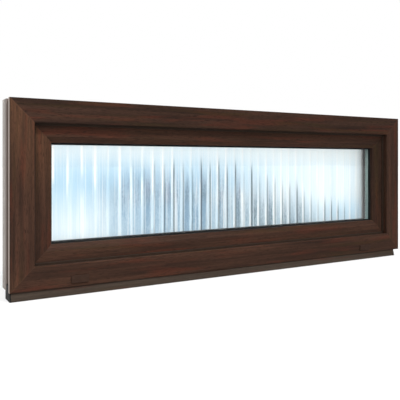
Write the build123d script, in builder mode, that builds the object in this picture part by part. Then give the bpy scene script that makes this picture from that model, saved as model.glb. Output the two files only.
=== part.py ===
"""Fixed window: a plastic frame with a fixed inner sash, sealed glazing and a base profile.

Row frame: X runs along the window with 0 at the middle, Y runs from outside to the room
with 0 at the middle of the frame's depth, Z is up with 0 at the base profile's underside.
Sections are drawn in (inward, deep): inward from the frame's outer edge towards the glass,
deep from the frame's outside face towards the room. All sizes are in millimetres.
"""

import os

from build123d import *

# Overall sizes
frame_length = 1300.0
frame_height = 450.0
frame_depth = 82.0
base_height = 20.0

# Outer frame section
face_width = 57.5
lip_depth = 15.0
lip_taper = 1.5
lip_overhang = 19.5
groove_start = 14.0
groove_width = 24.0
groove_depth = 4.0
slot_from_back = 10.0
slot_width = 6.0
slot_depth = 2.5
frame_round = 2.0
lip_round = 3.0

# Inner sash section
sash_gap = 12.0
sash_flat = 37.5
bevel_width = 15.0
bevel_depth = 7.0
sash_cover = 8.0
cover_thickness = 15.0
outside_seal_gap = 4.0
room_seal_gap = 4.0
sash_round = 1.0
sight_round = 1.5

# Glazing
glass_seat_depth = 17.0
glass_edge_gap = 3.0
glass_front = 20.0
pane_thickness = 4.0
cavity = 16.0
gasket_thickness = 3.0
gasket_foot = 9.0
gasket_reach = 4.0
gasket_nose = 4.5
gasket_slope = 1.5
gasket_round = 1.0

# Spacer and the seal around it
spacer_width = 7.0
spacer_backing = 7.0
butyl = 1.5
butyl_film = 0.4
butyl_spread = 4.0

# Glazing bead on the room side
bead_front = 6.0
bead_room_margin = 1.0
bead_round = 3.0

# Rebate seals
seal_back = 0.5
seal_proud = 4.5
room_seal_width = 6.0
room_seal_inset = 1.0
seal_round = 1.2

# Base profile under the frame
base_depth = 47.0
base_slope = 4.0
base_skirt = 3.0
base_round = 1.5
base_short = 22.0
tongue_clearance = 1.0
cap_thickness = 3.0
lug_height = 16.0

# Drain covers on the outside face
weep_length = 44.0
weep_height = 18.0
weep_corner = 3.0
weep_proud = 3.5
weep_from_end = 165.0
weep_above_edge = 17.7
weep_edge_round = 1.2
mouth_length = 34.0
mouth_height = 10.0
mouth_gap = 2.0

# Places worked out from the sizes above
outside_y = -frame_depth / 2
frame_bottom = base_height
frame_middle = frame_bottom + frame_height / 2
half_length = frame_length / 2
groove_end = groove_start + groove_width
slot_end = frame_depth - slot_from_back
slot_start = slot_end - slot_width

rebate_floor = face_width - lip_overhang
sash_edge = rebate_floor + sash_gap
sash_front = lip_depth + outside_seal_gap
bevel_start = sash_edge + sash_flat
sight_line = bevel_start + bevel_width
cover_edge = rebate_floor - sash_cover
cover_front = frame_depth + room_seal_gap
cover_back = cover_front + cover_thickness

glass_seat = sight_line - glass_seat_depth
glass_edge = glass_seat + glass_edge_gap
outer_front = sash_front + glass_front
outer_back = outer_front + pane_thickness
inner_front = outer_back + cavity
inner_back = inner_front + pane_thickness
spacer_edge = glass_edge + spacer_backing
spacer_sight = spacer_edge + spacer_width
gasket_edge = sight_line - gasket_foot
bead_start = inner_back + gasket_thickness

# Planes of the four sides: x points inward, y points to the room, z runs along the side
sill_side = Plane(origin=(0, outside_y, frame_bottom), x_dir=(0, 0, 1), z_dir=(-1, 0, 0))
head_side = Plane(
    origin=(0, outside_y, frame_bottom + frame_height), x_dir=(0, 0, -1), z_dir=(1, 0, 0)
)
left_side = Plane(
    origin=(-half_length, outside_y, frame_middle), x_dir=(1, 0, 0), z_dir=(0, 0, 1)
)
right_side = Plane(
    origin=(half_length, outside_y, frame_middle), x_dir=(-1, 0, 0), z_dir=(0, 0, -1)
)

# Sections as corners (inward, deep, rounding radius)
frame_section = [
    (0, 0, frame_round),
    (face_width, 0, lip_round),
    (face_width - lip_taper, lip_depth, 0),
    (rebate_floor, lip_depth, 0),
    (rebate_floor, frame_depth, frame_round),
    (0, frame_depth, frame_round),
    (0, slot_end, 0),
    (slot_depth, slot_end, 0),
    (slot_depth, slot_start, 0),
    (0, slot_start, 0),
    (0, groove_end, 0),
    (groove_depth, groove_end, 0),
    (groove_depth, groove_start, 0),
    (0, groove_start, 0),
]
sash_section = [
    (sash_edge, sash_front, sash_round),
    (bevel_start, sash_front, 0),
    (sight_line, sash_front + bevel_depth, sight_round),
    (sight_line, outer_front - gasket_thickness, 0),
    (glass_seat, outer_front - gasket_thickness, 0),
    (glass_seat, cover_back, 0),
    (cover_edge, cover_back, frame_round),
    (cover_edge, cover_front, 0),
    (sash_edge, cover_front, 0),
]
bead_section = [
    (glass_seat, bead_start, 0),
    (sight_line, bead_start, 0),
    (sight_line, bead_start + bead_front, bead_round),
    (glass_seat + bead_front, cover_back - bead_room_margin, bead_round),
    (glass_seat, cover_back - bead_room_margin, 0),
]
outer_gasket_section = [
    (gasket_edge, outer_front - gasket_thickness, 0),
    (sight_line, outer_front - gasket_thickness, 0),
    (sight_line, outer_front - gasket_thickness - gasket_nose, 0),
    (sight_line + gasket_reach, outer_front - gasket_slope, gasket_round),
    (sight_line + gasket_reach, outer_front, 0),
    (gasket_edge, outer_front, 0),
]
inner_gasket_section = [
    (gasket_edge, inner_back, 0),
    (sight_line + gasket_reach, inner_back, 0),
    (sight_line + gasket_reach, inner_back + gasket_slope, gasket_round),
    (sight_line, bead_start + gasket_nose, 0),
    (sight_line, bead_start, 0),
    (gasket_edge, bead_start, 0),
]
rebate_seal_section = [
    (sash_edge + seal_back, lip_depth, 0),
    (face_width + seal_proud, lip_depth, seal_round),
    (face_width + seal_proud, sash_front, 0),
    (sash_edge + seal_back, sash_front, 0),
]
cover_seal_section = [
    (cover_edge + room_seal_inset, frame_depth, seal_round),
    (cover_edge + room_seal_inset + room_seal_width, frame_depth, 0),
    (cover_edge + room_seal_inset + room_seal_width, cover_front, 0),
    (cover_edge + room_seal_inset, cover_front, seal_round),
]


def side_length(side):
    """Outer length of the frame along one side's own direction."""
    return frame_length if abs(side.z_dir.X) > 0 else frame_height


def mitred_side(section, side, label):
    """A profile along one side of the window, cut at 45 degrees at both corners."""
    half = side_length(side) / 2
    with BuildPart() as member:
        with BuildSketch(side) as profile:
            with BuildLine():
                Polyline([(inward, deep) for inward, deep, _ in section], close=True)
            make_face()
            for inward, deep, radius in section:
                if radius:
                    fillet(profile.vertices().sort_by_distance((inward, deep))[0], radius)
        extrude(amount=half, both=True)
        for end in (half, -half):
            corner = side.from_local_coords((0, 0, end))
            mitre = Plane(origin=corner, z_dir=side.x_dir + side.z_dir * (end / half))
            split(bisect_by=mitre, keep=Keep.BOTTOM)
    member.part.label = label
    export_step(member.part, f"parts/{label}.step")
    return member


def glass_plane(deep):
    """Plane parallel to the glass, at a depth from the frame's outside face."""
    return Plane(origin=(0, outside_y + deep, frame_middle), x_dir=(1, 0, 0), z_dir=(0, 1, 0))


def pane(front, label):
    """A sheet of glass standing in the sash."""
    with BuildPart() as sheet:
        with BuildSketch(glass_plane(front)):
            Rectangle(frame_length - 2 * glass_edge, frame_height - 2 * glass_edge)
        extrude(amount=pane_thickness)
    sheet.part.label = label
    export_step(sheet.part, f"parts/{label}.step")
    return sheet


def ring_sketch(outer, inner):
    """Add a rectangular ring between two distances from the frame's outer edge."""
    Rectangle(frame_length - 2 * outer, frame_height - 2 * outer)
    Rectangle(frame_length - 2 * inner, frame_height - 2 * inner, mode=Mode.SUBTRACT)


os.makedirs("parts", exist_ok=True)

# Outer frame, inner sash, beads, gaskets and seals, four mitred sides each
for section, names in (
    (frame_section, ("frame_sill", "frame_head", "frame_jamb_left", "frame_jamb_right")),
    (sash_section, ("sash_bottom_rail", "sash_top_rail", "sash_stile_left", "sash_stile_right")),
    (bead_section, ("bead_bottom", "bead_top", "bead_left", "bead_right")),
    (
        outer_gasket_section,
        ("outer_gasket_bottom", "outer_gasket_top", "outer_gasket_left", "outer_gasket_right"),
    ),
    (
        inner_gasket_section,
        ("inner_gasket_bottom", "inner_gasket_top", "inner_gasket_left", "inner_gasket_right"),
    ),
    (
        rebate_seal_section,
        ("rebate_seal_bottom", "rebate_seal_top", "rebate_seal_left", "rebate_seal_right"),
    ),
    (
        cover_seal_section,
        ("room_seal_bottom", "room_seal_top", "room_seal_left", "room_seal_right"),
    ),
):
    for side, name in zip((sill_side, head_side, left_side, right_side), names):
        mitred_side(section, side, name)

# Two sheets of glass
pane(outer_front, "outer_pane")
pane(inner_front, "patterned_pane")

# Spacer bar between the panes
with BuildPart() as spacer_frame:
    with BuildSketch(glass_plane(outer_back + butyl)):
        ring_sketch(spacer_edge, spacer_sight)
    extrude(amount=cavity - 2 * butyl)
spacer_frame.part.label = "spacer_frame"
export_step(spacer_frame.part, "parts/spacer_frame.step")

# Black seal around the spacer, with a film that shows on the inner pane
with BuildPart() as edge_seal:
    with BuildSketch(glass_plane(outer_back)):
        ring_sketch(glass_edge, spacer_sight)
    extrude(amount=butyl)
    with BuildSketch(glass_plane(outer_back + butyl)):
        ring_sketch(glass_edge, spacer_edge)
    extrude(amount=cavity - 2 * butyl)
    with BuildSketch(glass_plane(inner_front - butyl)):
        ring_sketch(glass_edge, spacer_sight)
    extrude(amount=butyl)
    with BuildSketch(glass_plane(inner_front - butyl_film)):
        ring_sketch(glass_edge, spacer_sight + butyl_spread)
    extrude(amount=butyl_film)
edge_seal.part.label = "edge_seal"
export_step(edge_seal.part, "parts/edge_seal.step")

# Base profile: a solid bar under the outside half of the frame, with a tongue in its groove
base_left = -half_length + cap_thickness
base_right = half_length - base_short - cap_thickness
tongue_front = groove_start + tongue_clearance
tongue_back = groove_end - tongue_clearance


def base_piece(start, length, standing, label):
    """A length of the base profile's section, with a block standing in the frame's groove."""
    across = Plane(origin=(start, outside_y, 0), x_dir=(0, 1, 0), z_dir=(1, 0, 0))
    with BuildPart() as piece:
        with BuildSketch(across):
            with BuildLine():
                Polyline(
                    (0, 0),
                    (base_depth, 0),
                    (base_depth, base_height),
                    (base_slope, base_height),
                    (0, base_skirt),
                    close=True,
                )
            make_face()
            if standing:
                with Locations(((tongue_front + tongue_back) / 2, base_height)):
                    Rectangle(
                        tongue_back - tongue_front, standing, align=(Align.CENTER, Align.MIN)
                    )
        extrude(amount=length)
        front_edges = piece.edges().filter_by(Axis.X).group_by(Axis.Y)[0]
        fillet(front_edges.sort_by(Axis.Z)[-1], base_round)
    piece.part.label = label
    export_step(piece.part, f"parts/{label}.step")
    return piece


base_piece(base_left, base_right - base_left, groove_depth, "base_profile")
base_piece(-half_length, cap_thickness, lug_height, "base_end_cap_left")
base_piece(base_right, cap_thickness, 0, "base_end_cap_right")

# Drain covers on the frame's bottom side, open below
for hand, name in ((-1, "weep_cap_left"), (1, "weep_cap_right")):
    cap_place = Plane(
        origin=(hand * (half_length - weep_from_end), outside_y, frame_bottom + weep_above_edge),
        x_dir=(1, 0, 0),
        z_dir=(0, -1, 0),
    )
    with BuildPart() as weep_cap:
        with BuildSketch(cap_place):
            RectangleRounded(weep_length, weep_height, weep_corner)
        extrude(amount=weep_proud)
        fillet(weep_cap.faces().sort_by(Axis.Y)[0].edges(), weep_edge_round)
        with BuildSketch(cap_place):
            with Locations((0, -weep_height / 2)):
                Rectangle(mouth_length, mouth_height, align=(Align.CENTER, Align.MIN))
        extrude(amount=mouth_gap, mode=Mode.SUBTRACT)
    weep_cap.part.label = name
    export_step(weep_cap.part, f"parts/{name}.step")
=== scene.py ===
"""Looks of a fixed window: wood-grain foil, rubber, glass with upright ribs, studio light.

All lengths are in metres. X runs along the window, Y from outside to the room, Z is up.
"""

import math

import bpy
import numpy as np
from mathutils import Matrix, Vector


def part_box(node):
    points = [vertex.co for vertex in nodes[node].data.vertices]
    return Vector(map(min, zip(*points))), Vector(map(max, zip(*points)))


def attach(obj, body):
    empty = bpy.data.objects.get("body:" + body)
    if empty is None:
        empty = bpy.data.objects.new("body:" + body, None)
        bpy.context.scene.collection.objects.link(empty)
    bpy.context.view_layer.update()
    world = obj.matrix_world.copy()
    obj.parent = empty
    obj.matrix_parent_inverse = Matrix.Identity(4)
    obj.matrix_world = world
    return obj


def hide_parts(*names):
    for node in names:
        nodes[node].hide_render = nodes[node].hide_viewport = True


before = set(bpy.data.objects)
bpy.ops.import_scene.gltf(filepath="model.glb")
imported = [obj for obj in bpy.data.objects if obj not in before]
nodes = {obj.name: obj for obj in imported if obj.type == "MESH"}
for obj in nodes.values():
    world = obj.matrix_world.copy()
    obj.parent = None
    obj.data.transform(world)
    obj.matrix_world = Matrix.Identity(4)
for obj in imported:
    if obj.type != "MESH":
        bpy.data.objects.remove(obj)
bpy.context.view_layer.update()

MM = 0.001

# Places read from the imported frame
HEAD_LOW, HEAD_HIGH = (np.array(corner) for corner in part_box("frame_head"))
HALF_LENGTH = float(HEAD_HIGH[0] - HEAD_LOW[0]) / 2
FRAME_TOP = float(HEAD_HIGH[2])
FRAME_BOTTOM = float(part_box("frame_sill")[0][2])
HALF_HEIGHT = (FRAME_TOP - FRAME_BOTTOM) / 2
MIDDLE_HEIGHT = (FRAME_TOP + FRAME_BOTTOM) / 2
OUTSIDE = float(HEAD_LOW[1])
FRAME_DEPTH = float(HEAD_HIGH[1] - HEAD_LOW[1])


# Building blocks for node trees and meshes


class Tree:
    """A node tree that adds nodes and links in one call each."""

    def __init__(self, tree):
        self.tree = tree

    def link(self, source, target):
        """Joins an output socket to an input socket."""
        self.tree.links.new(source, target)

    def add(self, kind, inputs=None, **settings):
        """A new node: settings are its properties, inputs are values or sockets to link."""
        node = self.tree.nodes.new(kind)
        for key, value in settings.items():
            setattr(node, key, value)
        for key, value in (inputs or {}).items():
            if isinstance(value, bpy.types.NodeSocket):
                self.link(value, node.inputs[key])
            else:
                node.inputs[key].default_value = value
        return node

    def use(self, group, inputs):
        """Places a shared effect and gives its outputs."""
        return self.add("ShaderNodeGroup", inputs, node_tree=group).outputs

    def math(self, operation, *values):
        """One step of arithmetic on numbers or sockets."""
        return self.add("ShaderNodeMath", dict(enumerate(values)), operation=operation).outputs[0]

    def product(self, first, *others):
        """All the values multiplied."""
        for value in others:
            first = self.math("MULTIPLY", first, value)
        return first

    def total(self, first, *others):
        """All the values added up."""
        for value in others:
            first = self.math("ADD", first, value)
        return first

    def ramp(self, value, low, high, start=0.0, end=1.0, smooth=True):
        """Goes from start to end as the value goes from low to high."""
        kind = "SMOOTHSTEP" if smooth else "LINEAR"
        inputs = {"Value": value, "From Min": low, "From Max": high, "To Min": start, "To Max": end}
        return self.add("ShaderNodeMapRange", inputs, interpolation_type=kind).outputs[0]

    def fade(self, value, low, high):
        """Falls from 1 to 0 as the value goes from low to high."""
        return self.ramp(value, low, high, 1.0, 0.0)

    def between(self, value, rise, fall, left=0.0):
        """Rises over one range of the value, and falls to what is left over a later one."""
        return self.product(self.ramp(value, *rise), self.ramp(value, *fall, 1.0, left))

    def blend(self, factor, first, second):
        """Mixes two colours."""
        inputs = {0: factor, 6: first, 7: second}
        return self.add("ShaderNodeMix", inputs, data_type="RGBA", clamp_factor=True).outputs[2]

    def noise(self, vector, scale, detail=2.0, roughness=0.5):
        """Soft random pattern from 0 to 1."""
        inputs = {"Vector": vector, "Scale": scale, "Detail": detail, "Roughness": roughness}
        return self.add("ShaderNodeTexNoise", inputs).outputs["Fac"]

    def grain(self, vector, along, across, detail=2.0, roughness=0.5):
        """Noise with one scale along X and another along Y and Z."""
        inputs = {0: vector, 1: (along, across, across)}
        stretched = self.add("ShaderNodeVectorMath", inputs, operation="MULTIPLY").outputs[0]
        return self.noise(stretched, 1.0, detail, roughness)

    def split(self, vector):
        """The three numbers of a vector."""
        return self.add("ShaderNodeSeparateXYZ", {0: vector}).outputs

    def bump(self, shader, height, strength, distance):
        """Relief on a shader's surface."""
        inputs = {"Strength": strength, "Distance": distance, "Height": height}
        self.link(self.add("ShaderNodeBump", inputs).outputs[0], shader.inputs["Normal"])


def new_group(name, inputs, outputs):
    """A shader node group with named sockets, its Tree, its input sockets and its output node."""
    group = bpy.data.node_groups.new(name, "ShaderNodeTree")
    for label, kind, value in inputs:
        socket = group.interface.new_socket(label, in_out="INPUT", socket_type=kind)
        if value is not None:
            socket.default_value = value
    for label, kind in outputs:
        group.interface.new_socket(label, in_out="OUTPUT", socket_type=kind)
    tree = Tree(group)
    return group, tree, tree.add("NodeGroupInput").outputs, tree.add("NodeGroupOutput")


def give_out(tree, result, links):
    """Joins a group's results to its output node."""
    for label, socket in links.items():
        tree.link(socket, result.inputs[label])


def new_material(name):
    """A material with a Principled shader, and the Object coordinates to drive it."""
    material = bpy.data.materials.new(name)
    material.use_nodes = True
    material.node_tree.nodes.clear()
    tree = Tree(material.node_tree)
    shader = tree.add("ShaderNodeBsdfPrincipled")
    output = tree.add("ShaderNodeOutputMaterial", {"Surface": shader.outputs[0]})
    place = tree.add("ShaderNodeTexCoord").outputs["Object"]
    return material, tree, shader, output, place


def set_values(shader, values):
    """Numbers and colours that are the same all over a surface."""
    for label, value in values.items():
        shader.inputs[label].default_value = value


def srgb(red, green, blue):
    """A colour as seen on screen, 0 to 255, as the linear colour that shaders use."""
    values = np.array([red, green, blue]) / 255
    linear = np.where(values <= 0.04045, values / 12.92, ((values + 0.055) / 1.055) ** 2.4)
    return (*(float(v) for v in linear), 1.0)


def grey(level):
    """A linear grey."""
    return (level, level, level, 1.0)


WHITE = grey(1.0)


def new_piece(name, points, faces, material):
    """A mesh object at the origin that rides on the window and wears one material."""
    mesh = bpy.data.meshes.new(name)
    mesh.from_pydata(points.tolist(), [], faces.tolist())
    mesh.polygons.foreach_set("use_smooth", np.ones(len(mesh.polygons), dtype=bool))
    mesh.materials.append(material)
    mesh.update()
    piece = bpy.data.objects.new(name, mesh)
    bpy.context.scene.collection.objects.link(piece)
    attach(piece, "root")
    return piece


# Shared effects

# Foil tones are pairs, the pale one first
FOIL_TONES = (srgb(74, 51, 40), srgb(41, 30, 25))
FOIL_RED = srgb(84, 42, 31)
FOIL_OLIVE = srgb(56, 44, 27)
RED_SHARE = 0.4
OLIVE_SHARE = 0.45
BAND_WEIGHT = 0.52
STREAK_WEIGHT = 0.33
FIBRE_WEIGHT = 0.15
FIBRE_RELIEF = 0.6
GRAIN_SWAY = 12.0 * MM


def make_window_place():
    """Where a point lies in the window.

    Inward is its distance from the frame's outer edge, the smaller of the two distances
    half length - |x| and half height - |z - middle|. Seam is the difference of the two,
    which is zero on the 45 degree corner joints. Deep is measured from the outside face.
    """
    group, tree, given, result = new_group(
        "window_place",
        [("Vector", "NodeSocketVector", None)],
        [(label, "NodeSocketFloat") for label in ("Inward", "Seam", "Deep")],
    )
    x, y, z = tree.split(given["Vector"])
    side = tree.math("SUBTRACT", HALF_LENGTH, tree.math("ABSOLUTE", x))
    height = tree.math("ABSOLUTE", tree.math("SUBTRACT", z, MIDDLE_HEIGHT))
    level = tree.math("SUBTRACT", HALF_HEIGHT, height)
    links = {
        "Inward": tree.math("MINIMUM", side, level),
        "Seam": tree.math("ABSOLUTE", tree.math("SUBTRACT", side, level)),
        "Deep": tree.math("SUBTRACT", y, OUTSIDE),
    }
    give_out(tree, result, links)
    return group


def make_wood_foil():
    """Printed and embossed wood-grain foil, with its grain along the vector's X.

    Bands, streaks, fibres and pores are noises stretched along X, each finer across the
    grain than the one before, on a vector that sways a little. Their weighted sum is the
    tone from dark to pale, with red and olive bands over it. The relief is the pores and
    fibres together.
    """
    group, tree, given, result = new_group(
        "wood_foil",
        [
            ("Vector", "NodeSocketVector", None),
            ("Pale", "NodeSocketColor", FOIL_TONES[0]),
            ("Dark", "NodeSocketColor", FOIL_TONES[1]),
            ("Red", "NodeSocketColor", FOIL_RED),
            ("Olive", "NodeSocketColor", FOIL_OLIVE),
            ("Redness", "NodeSocketFloat", RED_SHARE),
        ],
        [
            ("Colour", "NodeSocketColor"),
            ("Roughness", "NodeSocketFloat"),
            ("Height", "NodeSocketFloat"),
        ],
    )
    sway = tree.product(tree.grain(given["Vector"], 2.2, 9.0), GRAIN_SWAY)
    sway = tree.add("ShaderNodeCombineXYZ", {"Y": sway}).outputs[0]
    inputs = {0: given["Vector"], 1: sway}
    vector = tree.add("ShaderNodeVectorMath", inputs, operation="ADD").outputs[0]

    bands = tree.grain(vector, 2.6, 60.0, 3.0, 0.55)
    streaks = tree.grain(vector, 5.0, 210.0, 3.0, 0.6)
    fibres = tree.grain(vector, 22.0, 900.0, 4.0, 0.65)
    between_pores = tree.ramp(tree.grain(vector, 60.0, 1500.0, 1.0), 0.34, 0.44)
    tone = tree.total(
        tree.product(bands, BAND_WEIGHT),
        tree.product(streaks, STREAK_WEIGHT),
        tree.product(fibres, FIBRE_WEIGHT),
    )
    wood = tree.blend(tree.ramp(tone, 0.28, 0.7), given["Dark"], given["Pale"])
    red_bands = tree.ramp(tree.grain(vector, 5.1, 64.6), 0.5, 0.7)
    wood = tree.blend(tree.product(red_bands, given["Redness"]), wood, given["Red"])
    olive_bands = tree.ramp(tree.grain(vector, 3.12, 59.8), 0.52, 0.72)
    wood = tree.blend(tree.product(olive_bands, OLIVE_SHARE), wood, given["Olive"])
    links = {
        "Colour": tree.blend(between_pores, given["Dark"], wood),
        "Roughness": tree.ramp(fibres, 0.3, 0.7, 0.52, 0.4),
        "Height": tree.total(between_pores, tree.product(fibres, FIBRE_RELIEF)),
    }
    give_out(tree, result, links)
    return group


def make_handling_dirt():
    """Faint smudges and dust on a plain surface, as a mask from 0 to 1.

    It is a broad noise times one that is nine times finer.
    """
    group, tree, given, result = new_group(
        "handling_dirt",
        [("Vector", "NodeSocketVector", None), ("Size", "NodeSocketFloat", 40.0)],
        [("Mask", "NodeSocketFloat")],
    )
    broad = tree.noise(given["Vector"], given["Size"], 5.0, 0.6)
    fine = tree.noise(given["Vector"], tree.product(given["Size"], 9.0), 3.0, 0.7)
    mask = tree.product(tree.ramp(broad, 0.42, 0.7), tree.ramp(fine, 0.3, 0.75, 0.4))
    give_out(tree, result, {"Mask": mask})
    return group


window_place = make_window_place()
wood_foil = make_wood_foil()
handling_dirt = make_handling_dirt()


# Foiled profiles

# Darker tones that paint shade on the members that get less light
SHADED_TONES = (srgb(65, 46, 37), srgb(35, 26, 22))
# Paler tones that paint light on the upright members at the window's left
LEFT_LIGHT_TONES = (srgb(92, 63, 46), srgb(54, 39, 31))
BASE_TONES = (srgb(74, 64, 56), srgb(54, 46, 40))
FOIL_SHINE = 0.03

# Painted light, a paler foil tone on the left uprights: x where it ends, z where its upper part
# starts and its foot ends
LIGHT_SIDE = (-0.2, 0.2)
LIGHT_UPPER = (0.2, 0.41)
LIGHT_FOOT = (0.03, 0.1)
LIGHT_FOOT_SHARE = 0.45

# The line on a corner joint
SEAM_WIDTH = (0.4 * MM, 1.3 * MM)
SEAM_COLOUR = srgb(84, 62, 50)
SEAM_SHARE = 0.3
SEAM_DEPTH = 2.5

# Bare plastic on a profile's outer edge
FOIL_WRAP = 2.6 * MM
BARE_REACH = 4.8 * MM
SOFT_EDGE = 0.2 * MM
GROOVE_FLOOR = (1.0 * MM, 2.2 * MM)
FRONT_LEG = (14.0 * MM, 16.0 * MM)
# Painted shade on the bare plastic: darker in the middle, paler towards the room, darker on the
# groove floor
BARE_SHADE_RANGE = (34.0 * MM, 80.0 * MM)
BARE_SHADED = srgb(122, 112, 107)
BARE_LESS_SHADED = srgb(186, 181, 176)
BARE_FRONT = srgb(172, 158, 149)
BARE_GROOVE_SHADE = srgb(104, 93, 87)
BARE_SMUDGE = srgb(116, 104, 96)
SMUDGE_SHARE = 0.4
BARE_ROUGHER = 0.02


def painted_light_share(tree, place):
    """Share of painted light, a paler foil tone: at the window's left, rising to the top and a
    little at the foot.
    """
    x, _, z = tree.split(place)
    upper = tree.ramp(z, *LIGHT_UPPER)
    foot = tree.ramp(z, *LIGHT_FOOT, LIGHT_FOOT_SHARE, 0.0)
    return tree.product(tree.fade(x, *LIGHT_SIDE), tree.math("MAXIMUM", upper, foot))


def bare_plastic(tree, place, where):
    """Uncovered plastic on a profile's outer edge: its share of the surface and its colour.

    It lies between the foil's two wraps, within a short reach of the outer edge. Its front
    leg is paler. Its middle is painted darker as shade and grows paler towards the room,
    and its groove floor is painted darker as shade.
    """
    deep, inward = where["Deep"], where["Inward"]
    rear_wrap = FRAME_DEPTH - FOIL_WRAP
    share = tree.product(
        tree.fade(inward, BARE_REACH - SOFT_EDGE, BARE_REACH + SOFT_EDGE),
        tree.between(
            deep,
            (FOIL_WRAP - SOFT_EDGE, FOIL_WRAP + SOFT_EDGE),
            (rear_wrap - SOFT_EDGE, rear_wrap + SOFT_EDGE),
        ),
    )
    # Painted shade: darker in the middle of the bare plastic, paler towards the room
    colour = tree.blend(tree.ramp(deep, *BARE_SHADE_RANGE), BARE_SHADED, BARE_LESS_SHADED)
    colour = tree.blend(tree.fade(deep, *FRONT_LEG), colour, BARE_FRONT)
    # Painted shade on the groove floor
    colour = tree.blend(tree.ramp(inward, *GROOVE_FLOOR), colour, BARE_GROOVE_SHADE)
    smudge = tree.use(handling_dirt, {"Vector": place, "Size": 14.0})["Mask"]
    return share, tree.blend(tree.product(smudge, SMUDGE_SHARE), colour, BARE_SMUDGE)


def foil_material(name, upright, shift, tones, bare_edge=True):
    """Foiled profile: grain along its length, a seam at each corner, bare plastic outside, and
    painted light on uprights at the window's left.
    """
    material, tree, shader, _, place = new_material(name)
    where = tree.use(window_place, {"Vector": place})
    turn = (0.0, math.radians(90.0) if upright else 0.0, 0.0)
    inputs = {"Vector": place, "Location": shift, "Rotation": turn}
    grain = tree.add("ShaderNodeMapping", inputs).outputs[0]
    # Uprights get painted light: a paler foil tone at the window's left, high up and at the foot
    if upright:
        lit_share = painted_light_share(tree, place)
        tones = [tree.blend(lit_share, *pair) for pair in zip(tones, LEFT_LIGHT_TONES)]
    foil = tree.use(wood_foil, {"Vector": grain, "Pale": tones[0], "Dark": tones[1]})
    seam = tree.fade(where["Seam"], *SEAM_WIDTH)
    colour = tree.blend(tree.product(seam, SEAM_SHARE), foil["Colour"], SEAM_COLOUR)
    rough = foil["Roughness"]
    height = tree.math("SUBTRACT", foil["Height"], tree.product(seam, SEAM_DEPTH))
    if bare_edge:
        bare, plastic = bare_plastic(tree, place, where)
        colour = tree.blend(bare, colour, plastic)
        rough = tree.total(rough, tree.product(bare, BARE_ROUGHER))
        height = tree.product(height, tree.math("SUBTRACT", 1.0, bare))
    tree.link(colour, shader.inputs["Base Color"])
    tree.link(rough, shader.inputs["Roughness"])
    tree.bump(shader, height, 0.3, 0.12 * MM)
    set_values(shader, {"Specular IOR Level": FOIL_SHINE})
    return material


# Plastic, rubber, sealant and spacer


def plain_material(name, colour, worn, roughness, shine):
    """Moulded plastic, rubber or sealant: one colour with faint smudges and a fine skin."""
    material, tree, shader, _, place = new_material(name)
    dirt = tree.use(handling_dirt, {"Vector": place, "Size": 60.0})["Mask"]
    smudged = tree.blend(tree.product(dirt, 0.6), srgb(*colour), srgb(*worn))
    tree.link(smudged, shader.inputs["Base Color"])
    rough = tree.ramp(dirt, 0.0, 1.0, roughness, roughness + 0.15)
    tree.link(rough, shader.inputs["Roughness"])
    tree.bump(shader, tree.noise(place, 700.0, 3.0, 0.6), 0.2, 0.1 * MM)
    set_values(shader, {"Specular IOR Level": shine})
    return material


def spacer_material():
    """Grey spacer bar: dull metal with faint smudges."""
    material, tree, shader, _, place = new_material("spacer_bar")
    dirt = tree.use(handling_dirt, {"Vector": place, "Size": 90.0})["Mask"]
    colour = tree.blend(tree.product(dirt, 0.5), srgb(150, 166, 163), srgb(118, 130, 130))
    tree.link(colour, shader.inputs["Base Color"])
    set_values(shader, {"Roughness": 0.42, "Metallic": 0.35})
    return material


# Glass

GLASS_IOR = 1.5
FLOAT_TINT = (0.975, 0.995, 0.985, 1.0)
FLOAT_SHADE = (0.93, 0.96, 0.95, 1.0)

# The ribs: their pitch, where the count starts, and the relief and spread of the pattern
RIB_PITCH = 29.5 * MM
RIB_START = -497.0 * MM
RIB_RELIEF = 1.0 * MM
RIB_SPREAD = 1.5
SPREAD_LEFT = -0.56
SPREAD_RIGHT = -0.2
SECOND_SEED = 40.5

# Names that end in _X or _Z are ranges of x or z. Names that end in _T are ranges of the
# place across a rib, from 0 to 1.

# The pattern's top: where it falls, its heights at both ends, and how far ribs may differ
TOP_FALL_X = (-0.05, 0.55)
TOP_HEIGHTS = (0.335, 0.185)
TOP_UNEVEN = 30.0 * MM

# A rib's body, a painted refraction of what lies behind: its two edges, where bodies show, and how
# far below the top they are full
BODY_RISE_T = (0.14, 0.18)
BODY_FALL_T = (0.84, 0.92)
BODY_RISE_X = (-0.48, -0.28)
BODY_FALL_X = (0.26, 0.5)
BODY_TOP_GAP = 10.0 * MM
FULL_DEPTH_X = (-0.3, 0.0)
FULL_DEPTHS = (0.1, 0.18)
EVERY_OTHER_SHARE = 0.4
LEAST_SHARE = 0.55
FOOT_RISE_Z = (0.125, 0.19)
FOOT_STRENGTH = 0.75
STREAK_PALER = 0.55
MOTTLE_SHARES = (0.8, 1.3)

# The bodies' painted refraction colours, and where one turns into the next
REFRACTED_BLUE = srgb(92, 124, 144)
REFRACTED_VIOLET = srgb(110, 120, 142)
REFRACTED_FOOT_LEFT = srgb(118, 156, 182)
REFRACTED_FOOT_RIGHT = srgb(88, 118, 136)
REFRACTED_FAR_LEFT = srgb(150, 184, 208)
REFRACTED_FOOT_X = (-0.12, 0.08)
REFRACTED_FOOT_Z = (0.19, 0.23)
REFRACTED_FAR_LEFT_X = (-0.3, 0.05)
REFRACTED_FAR_LEFT_SHARE = 0.45

# The painted dark line beside each rib's edge, shade refracted through the rib
DARK_RISE_T = (0.12, 0.15)
DARK_FALL_T = (0.2, 0.32)
DARK_RISE_X = (-0.36, -0.16)
DARK_FALL_X = (0.4, 0.54)
DARK_AT_RIGHT_END = 0.2
DARK_FULL_DEPTH = 50.0 * MM
REFRACTED_DARK_COLOUR = srgb(40, 57, 68)

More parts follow.
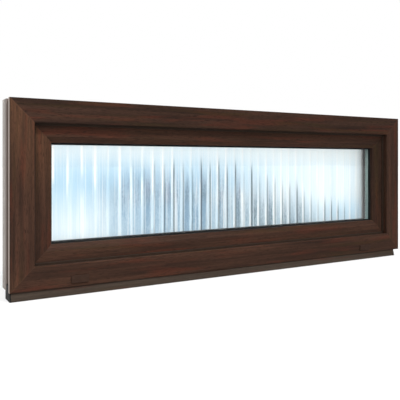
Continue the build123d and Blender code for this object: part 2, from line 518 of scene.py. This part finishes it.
# The painted pale blue refraction haze: high on the left half, low on the right, and a veil on the
# bodies
REFRACTED_HAZE_COLOUR = srgb(184, 218, 238)
HIGH_HAZE_FALL_X = (-0.1, 0.3)
HIGH_HAZE_RISE_Z = (0.15, 0.26)
HIGH_HAZE_FALL_Z = (0.28, 0.35)
HIGH_HAZE_AT_TOP = 0.25
LOW_HAZE_RISE_X = (0.1, 0.5)
LOW_HAZE_FALL_Z = (0.15, 0.22)
LOW_HAZE_SHARE = 0.8
VEIL_SHARE = 0.6

# The clear parts with their painted fine refraction lines
CLEAR_WHITE = srgb(247, 253, 254)
REFRACTED_LINE_BLUE = srgb(212, 231, 244)
FINE_SHARE = 0.4
RIB_REFRACTION_SHARE = 0.4
FINE_FALL_Z = (0.3, 0.36)
FINE_AT_TOP = 0.25

# The painted highlight line on each rib's edge, and the painted bright threads between
PAINTED_HIGHLIGHT_COLOUR = srgb(254, 255, 255)
BRIGHT_FALL_T = (0.08, 0.16)
BRIGHT_RISE_T = (0.9, 0.96)
BRIGHT_RISE_X = (-0.2, 0.0)
BRIGHT_RISE_Z = (0.23, 0.3)
BRIGHT_UNEVEN = 60.0 * MM
BRIGHT_BELOW = 0.25
THREAD_X = (0.0, 0.3)
THREAD_SHARES = (0.6, 0.35)

# The painted dark band at each upright end, shade of the gasket and bead seen through the glass, as
# distances from the middle
EDGE_SHADE_COLOUR = srgb(20, 22, 24)
BAND_START = HALF_LENGTH - 112.0 * MM
BAND_FULL = HALF_LENGTH - 111.0 * MM


def clear_material():
    """Float glass: smooth, a touch green, and open to lamp light."""
    material, tree, shader, output, _ = new_material("clear_glass")
    values = {"Base Color": FLOAT_TINT, "Roughness": 0.0, "IOR": GLASS_IOR}
    set_values(shader, values | {"Transmission Weight": 1.0})
    open_glass = tree.add("ShaderNodeBsdfTransparent", {"Color": FLOAT_SHADE})
    shadow = tree.add("ShaderNodeLightPath").outputs["Is Shadow Ray"]
    inputs = {0: shadow, 1: shader.outputs[0], 2: open_glass.outputs[0]}
    mix = tree.add("ShaderNodeMixShader", inputs)
    tree.link(mix.outputs[0], output.inputs["Surface"])
    return material


class RibbedPattern:
    """The colours of the ribbed pane, a painted picture of refraction, shade and highlights, from a
    point's place x, z and its rib.

    A rib's number and the place across it are the whole and the broken part of
    (x - start) / pitch + spread * s^2, where s rises from 0 to 1 towards the pane's left
    end, so the ribs stand a little further apart there. The two lucks are random shares,
    each the same all over one rib.
    """

    def __init__(self, tree, place):
        self.tree = tree
        self.place = place
        self.x, _, self.z = tree.split(place)
        spread = tree.ramp(self.x, SPREAD_LEFT, SPREAD_RIGHT, 1.0, 0.0, smooth=False)
        count = tree.total(
            tree.math("DIVIDE", tree.math("SUBTRACT", self.x, RIB_START), RIB_PITCH),
            tree.product(spread, spread, RIB_SPREAD),
        )
        self.number = tree.math("FLOOR", count)
        self.across = tree.math("FRACT", count)
        self.luck = self.random_share(self.number)
        self.second_luck = self.random_share(tree.total(self.number, SECOND_SEED))
        self.below_top = self.depth_below_top()
        self.body_field = self.field_of_bodies()

    def random_share(self, number):
        """A random share from 0 to 1 for a number."""
        kind = "ShaderNodeTexWhiteNoise"
        return self.tree.add(kind, {"W": number}, noise_dimensions="1D").outputs["Value"]

    def depth_below_top(self):
        """Top minus z, where the top falls to the right and differs a little from rib to rib."""
        tree = self.tree
        uneven = tree.product(tree.math("SUBTRACT", self.luck, 0.5), TOP_UNEVEN)
        top = tree.total(tree.ramp(self.x, *TOP_FALL_X, *TOP_HEIGHTS), uneven)
        return tree.math("SUBTRACT", top, self.z)

    def field_of_bodies(self):
        """Where bodies show: away from the pane's two ends, growing downwards from the top."""
        tree = self.tree
        full_depth = tree.ramp(self.x, *FULL_DEPTH_X, *FULL_DEPTHS)
        rise = tree.ramp(self.below_top, BODY_TOP_GAP, full_depth)
        return tree.product(tree.between(self.x, BODY_RISE_X, BODY_FALL_X), rise)

    def refracted_body_share(self):
        """Share of a rib's painted grey refraction body: stronger on every other rib, streaked and
        mottled.
        """
        tree = self.tree
        strength = tree.total(
            tree.product(tree.math("PINGPONG", self.number, 1.0), EVERY_OTHER_SHARE),
            tree.ramp(self.second_luck, 0.0, 1.0, LEAST_SHARE, 1.0),
        )
        streaks = tree.grain(self.place, 330.0, 7.0, 2.0, 0.6)
        mottle = tree.grain(self.place, 280.0, 130.0, 1.0)
        return tree.product(
            tree.between(self.across, BODY_RISE_T, BODY_FALL_T),
            strength,
            tree.ramp(streaks, 0.38, 0.56, STREAK_PALER, 1.0),
            tree.ramp(self.z, *FOOT_RISE_Z, FOOT_STRENGTH, 1.0),
            tree.ramp(mottle, 0.35, 0.65, *MOTTLE_SHARES),
            self.body_field,
        )

    def refracted_body_colour(self):
        """Painted refraction colour: blue or violet grey, another grey at the foot, and pale blue
        towards the left.
        """
        tree = self.tree
        hue = tree.ramp(tree.grain(self.place, 26.0, 9.0), 0.38, 0.62)
        foot = tree.blend(tree.ramp(self.x, *REFRACTED_FOOT_X), REFRACTED_FOOT_LEFT, REFRACTED_FOOT_RIGHT)
        colour = tree.blend(hue, REFRACTED_BLUE, REFRACTED_VIOLET)
        colour = tree.blend(tree.fade(self.z, *REFRACTED_FOOT_Z), colour, foot)
        far_left = tree.ramp(self.x, *REFRACTED_FAR_LEFT_X, REFRACTED_FAR_LEFT_SHARE, 0.0)
        return tree.blend(far_left, colour, REFRACTED_FAR_LEFT)

    def refracted_dark_share(self):
        """Share of the painted dark refraction line on a rib's left edge, below the pattern's top.
        """
        tree = self.tree
        return tree.product(
            tree.between(self.across, DARK_RISE_T, DARK_FALL_T),
            tree.between(self.x, DARK_RISE_X, DARK_FALL_X, DARK_AT_RIGHT_END),
            tree.ramp(self.luck, 0.1, 0.6, 0.5, 1.0),
            tree.ramp(self.below_top, 0.0, DARK_FULL_DEPTH),
        )

    def refracted_haze_share(self):
        """Share of painted refraction haze: the largest of the high and the low cloud and the veil
        on the bodies.
        """
        tree = self.tree
        high = tree.product(
            tree.fade(self.x, *HIGH_HAZE_FALL_X),
            tree.between(self.z, HIGH_HAZE_RISE_Z, HIGH_HAZE_FALL_Z, HIGH_HAZE_AT_TOP),
        )
        low = tree.product(
            tree.ramp(self.x, *LOW_HAZE_RISE_X),
            tree.ramp(self.z, *LOW_HAZE_FALL_Z, LOW_HAZE_SHARE, 0.0),
        )
        clouds = tree.ramp(tree.grain(self.place, 5.0, 9.0), 0.25, 0.65, 0.75, 1.0)
        cloudy = tree.product(clouds, tree.math("MAXIMUM", high, low))
        return tree.math("MAXIMUM", cloudy, tree.product(self.body_field, VEIL_SHARE))

    def clear_colour(self):
        """Near white with painted fine pale blue refraction lines, and a painted refraction tint
        for each rib.
        """
        tree = self.tree
        fine = tree.ramp(tree.grain(self.place, 260.0, 4.0), 0.38, 0.62)
        blue = tree.total(
            tree.product(fine, FINE_SHARE), tree.product(self.second_luck, RIB_REFRACTION_SHARE)
        )
        blue = tree.product(blue, tree.ramp(self.z, *FINE_FALL_Z, 1.0, FINE_AT_TOP))
        return tree.blend(blue, CLEAR_WHITE, REFRACTED_LINE_BLUE)

    def highlight_share(self):
        """Share of painted highlight: a broken line on each rib's edge, and fine threads in
        between.
        """
        tree = self.tree
        line = tree.math(
            "MAXIMUM",
            tree.fade(self.across, *BRIGHT_FALL_T),
            tree.ramp(self.across, *BRIGHT_RISE_T),
        )
        broken = tree.ramp(tree.grain(self.place, 24.0, 6.0), 0.36, 0.56, 0.2, 1.0)
        height = tree.total(self.z, tree.product(self.luck, BRIGHT_UNEVEN))
        upper = tree.ramp(height, *BRIGHT_RISE_Z, BRIGHT_BELOW, 1.0)
        reach = tree.math("MAXIMUM", upper, tree.ramp(self.x, *BRIGHT_RISE_X))
        thread_share = tree.ramp(self.x, *THREAD_X, *THREAD_SHARES)
        threads = tree.grain(self.place, 300.0, 3.0, 1.0)
        threads = tree.ramp(threads, 0.55, 0.65, 0.0, thread_share)
        return tree.math("MAXIMUM", tree.product(line, broken, reach), threads)

    def colour(self):
        """Clear glass with painted refraction haze and bodies, painted dark lines and painted
        highlights over it, in that order.

        A painted dark band, shade of the gasket and bead seen through the glass, crosses it at each
        upright end.
        """
        tree = self.tree
        # Painted shade: a dark band at each upright end of the pane
        band = tree.ramp(tree.math("ABSOLUTE", self.x), BAND_START, BAND_FULL)
        colour = tree.blend(self.refracted_haze_share(), self.clear_colour(), REFRACTED_HAZE_COLOUR)
        colour = tree.blend(self.refracted_body_share(), colour, self.refracted_body_colour())
        colour = tree.blend(self.refracted_dark_share(), colour, REFRACTED_DARK_COLOUR)
        colour = tree.blend(self.highlight_share(), colour, PAINTED_HIGHLIGHT_COLOUR)
        return tree.blend(band, colour, EDGE_SHADE_COLOUR)


def ribbed_material():
    """Cast glass with upright ribs and a finely rippled skin that scatters what is behind; its
    colour is painted refraction, shade and highlights.
    """
    material, tree, shader, _, place = new_material("ribbed_glass")
    tree.link(RibbedPattern(tree, place).colour(), shader.inputs["Base Color"])
    tree.bump(shader, tree.grain(place, 240.0, 90.0), 0.25, 0.3 * MM)
    set_values(shader, {"Roughness": 0.75, "IOR": GLASS_IOR, "Transmission Weight": 1.0})
    return material


# Pieces

STEPS_PER_RIB = 24
STEPS_IN_HEIGHT = 12


def ribbed_pane():
    """The patterned pane.

    Both faces are grids over (x, z). The outside face stands at
    y = front + relief * (2t - 1)^2, where t is the place across a rib from 0 to 1, so each
    rib is a convex bow with a crease beside it. The room face is flat.
    """
    low, high = (np.array(corner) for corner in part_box("patterned_pane"))
    columns = STEPS_PER_RIB * int(round((high[0] - low[0]) / RIB_PITCH))
    x, z = np.meshgrid(
        np.linspace(low[0], high[0], columns + 1),
        np.linspace(low[2], high[2], STEPS_IN_HEIGHT + 1),
    )
    spread = np.clip((SPREAD_RIGHT - x) / (SPREAD_RIGHT - SPREAD_LEFT), 0.0, 1.0)
    across = np.mod((x - RIB_START) / RIB_PITCH + RIB_SPREAD * spread**2, 1.0)
    front = low[1] + RIB_RELIEF * (2 * across - 1) ** 2
    back = np.full_like(x, high[1])
    points = np.concatenate([np.stack([x, y, z], axis=-1).reshape(-1, 3) for y in (front, back)])
    index = np.arange(x.size).reshape(x.shape)
    a, b, c, d = index[:-1, :-1], index[:-1, 1:], index[1:, 1:], index[1:, :-1]
    outside = np.stack([a, b, c, d], axis=-1).reshape(-1, 4)
    room = outside[:, ::-1] + x.size
    rim = np.concatenate([index[0, :], index[1:, -1], index[-1, -2::-1], index[-2:0:-1, 0]])
    following = np.roll(rim, -1)
    edge = np.stack([following, rim, rim + x.size, following + x.size], axis=-1)
    faces = np.concatenate([outside, room, edge])
    pane = new_piece("ribbed_pane", points, faces, ribbed_material())
    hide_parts("patterned_pane")
    return pane


# Carried-over pieces get their finishes

UPRIGHT = {"frame_jamb_left", "frame_jamb_right", "sash_stile_left", "sash_stile_right"}
UPRIGHT |= {"bead_left", "bead_right"}
# Members whose foil is painted darker as shade
SHADED_MEMBERS = {"frame_head", "sash_stile_right"}
FOILED = ("frame_", "sash_", "bead_")

rubber = plain_material("black_rubber", (17, 18, 18), (30, 31, 30), 0.7, 0.1)
seal_rubber = plain_material("seal_rubber", (47, 36, 29), (58, 47, 39), 0.65, 0.1)
sealant = plain_material("black_sealant", (18, 20, 22), (30, 32, 34), 0.5, 0.3)
black_plastic = plain_material("black_plastic", (20, 19, 18), (34, 33, 31), 0.6, 0.12)
brown_plastic = plain_material("brown_plastic", (52, 37, 30), (64, 48, 39), 0.5, 0.05)
base_foil = foil_material("foil_base", False, (3.1, 0.4, 0.9), BASE_TONES, bare_edge=False)
glass = clear_material()

FINISHES = {
    "outer_gasket": rubber,
    "inner_gasket": rubber,
    "rebate_seal": seal_rubber,
    "room_seal": seal_rubber,
    "edge_seal": sealant,
    "spacer_frame": spacer_material(),
    "outer_pane": glass,
    "patterned_pane": glass,
    "base_profile": base_foil,
    "base_end_cap": black_plastic,
    "weep_cap": brown_plastic,
}

for order, name in enumerate(sorted(nodes)):
    if name.startswith(FOILED):
        shift = (0.37 * order, 0.11 * order, 0.23 * order)
        # Painted shade: darker foil tones on the head and the right stile
        tones = SHADED_TONES if name in SHADED_MEMBERS else FOIL_TONES
        finish = foil_material(f"foil_{name}", name in UPRIGHT, shift, tones)
    else:
        finish = next(FINISHES[start] for start in FINISHES if name.startswith(start))
    nodes[name].data.materials.clear()
    nodes[name].data.materials.append(finish)

ribbed_pane()


# Studio

FLOOR_REACH = 30.0
FLOOR_SEEN = grey(0.92)
FLOOR_LIT = grey(0.6)
PLAIN_WHITE_SHARE = 0.7
KEY_FROM = (0.3, -0.56, 0.78)
SIDE_FROM = (-0.82, -0.52, 0.2)
BACK_FROM = (0.45, 0.89, 0.06)
PANEL_PLACE = Vector((-1.0, -0.9, 1.0))
PANEL_AIM = Vector((-0.45, 0.0, 0.4))


def studio_floor():
    """White floor: to camera, gloss and glass it is mostly plain white, so it stays pale.

    To all other rays it is grey, so it throws less light up at the window.
    """
    corners = FLOOR_REACH * np.array([(-1, -1, 0), (1, -1, 0), (1, 1, 0), (-1, 1, 0)])
    mesh = bpy.data.meshes.new("floor")
    mesh.from_pydata(corners.tolist(), [], [(0, 1, 2, 3)])
    floor = bpy.data.objects.new("floor", mesh)
    bpy.context.scene.collection.objects.link(floor)
    material, tree, shader, output, _ = new_material("floor_white")
    set_values(shader, {"Roughness": 1.0, "Specular IOR Level": 0.0})
    white = tree.add("ShaderNodeEmission", {"Color": WHITE, "Strength": 1.0})
    rays = tree.add("ShaderNodeLightPath").outputs
    seen = tree.math("MAXIMUM", rays["Is Glossy Ray"], rays["Is Transmission Ray"])
    seen = tree.math("MAXIMUM", rays["Is Camera Ray"], seen)
    tree.link(tree.blend(seen, FLOOR_LIT, FLOOR_SEEN), shader.inputs["Base Color"])
    share = tree.product(seen, PLAIN_WHITE_SHARE)
    mix = tree.add("ShaderNodeMixShader", {0: share, 1: shader.outputs[0], 2: white.outputs[0]})
    tree.link(mix.outputs[0], output.inputs["Surface"])
    mesh.materials.append(material)


def studio_world():
    """Pale light, stronger from above and behind; white where the camera or glass looks at it."""
    world = bpy.data.worlds.new("studio")
    bpy.context.scene.world = world
    world.use_nodes = True
    world.node_tree.nodes.clear()
    tree = Tree(world.node_tree)
    direction = tree.add("ShaderNodeTexCoord").outputs["Generated"]
    _, roomward, up = tree.split(direction)
    light = tree.total(
        tree.ramp(up, -0.2, 0.9, 0.38, 0.68), tree.ramp(roomward, 0.0, 0.9, 0.0, 0.45)
    )
    rays = tree.add("ShaderNodeLightPath").outputs
    seen = tree.math("MAXIMUM", rays["Is Camera Ray"], rays["Is Transmission Ray"])
    soft = tree.add("ShaderNodeBackground", {"Color": WHITE, "Strength": light})
    white = tree.add("ShaderNodeBackground", {"Color": WHITE, "Strength": 1.0})
    mix = tree.add("ShaderNodeMixShader", {0: seen, 1: soft.outputs[0], 2: white.outputs[0]})
    tree.add("ShaderNodeOutputWorld", {"Surface": mix.outputs[0]})


def place_lamp(name, kind, energy, towards):
    """A lamp that shines from the side that towards points to."""
    lamp = bpy.data.lights.new(name, kind)
    lamp.energy = energy
    holder = bpy.data.objects.new(name, lamp)
    bpy.context.scene.collection.objects.link(holder)
    holder.rotation_euler = Vector(towards).to_track_quat("Z", "Y").to_euler()
    return lamp, holder


def place_sun(name, strength, towards, softness):
    """A distant lamp, whose softness is its width in the sky in degrees."""
    sun, _ = place_lamp(name, "SUN", strength, towards)
    sun.angle = math.radians(softness)


def studio_lamps():
    """A lamp high on the right, softer ones on the left and a weak one behind the glass."""
    place_sun("key", 2.25, KEY_FROM, 9.0)
    panel, holder = place_lamp("panel", "AREA", 5.5, PANEL_PLACE - PANEL_AIM)
    panel.size = 0.5
    holder.location = PANEL_PLACE
    holder.visible_camera = False
    place_sun("side", 0.8, SIDE_FROM, 50.0)
    place_sun("back", 0.2, BACK_FROM, 40.0)


def photo_camera():
    """Camera left of the window at about its upper third, looking level across it.

    Focal length and horizon are in pixels of the square picture.
    """
    yaw = math.radians(30.51)
    place = Vector((-0.9224, -1.3574, 0.3226))
    focal = 558.5
    horizon = 161.4
    picture = 400.0
    camera_data = bpy.data.cameras.new("photo_camera")
    camera_data.sensor_width = 36.0
    camera_data.lens = focal / picture * camera_data.sensor_width
    camera_data.shift_y = -(picture / 2 - horizon) / picture
    camera = bpy.data.objects.new("photo_camera", camera_data)
    bpy.context.scene.collection.objects.link(camera)
    forward = Vector((math.sin(yaw), math.cos(yaw), 0.0))
    turn = forward.to_track_quat("-Z", "Y").to_matrix().to_4x4()
    camera.matrix_world = Matrix.Translation(place) @ turn
    bpy.context.scene.camera = camera


studio_floor()
studio_world()
studio_lamps()
photo_camera()
bpy.context.scene.view_settings.view_transform = "Standard"
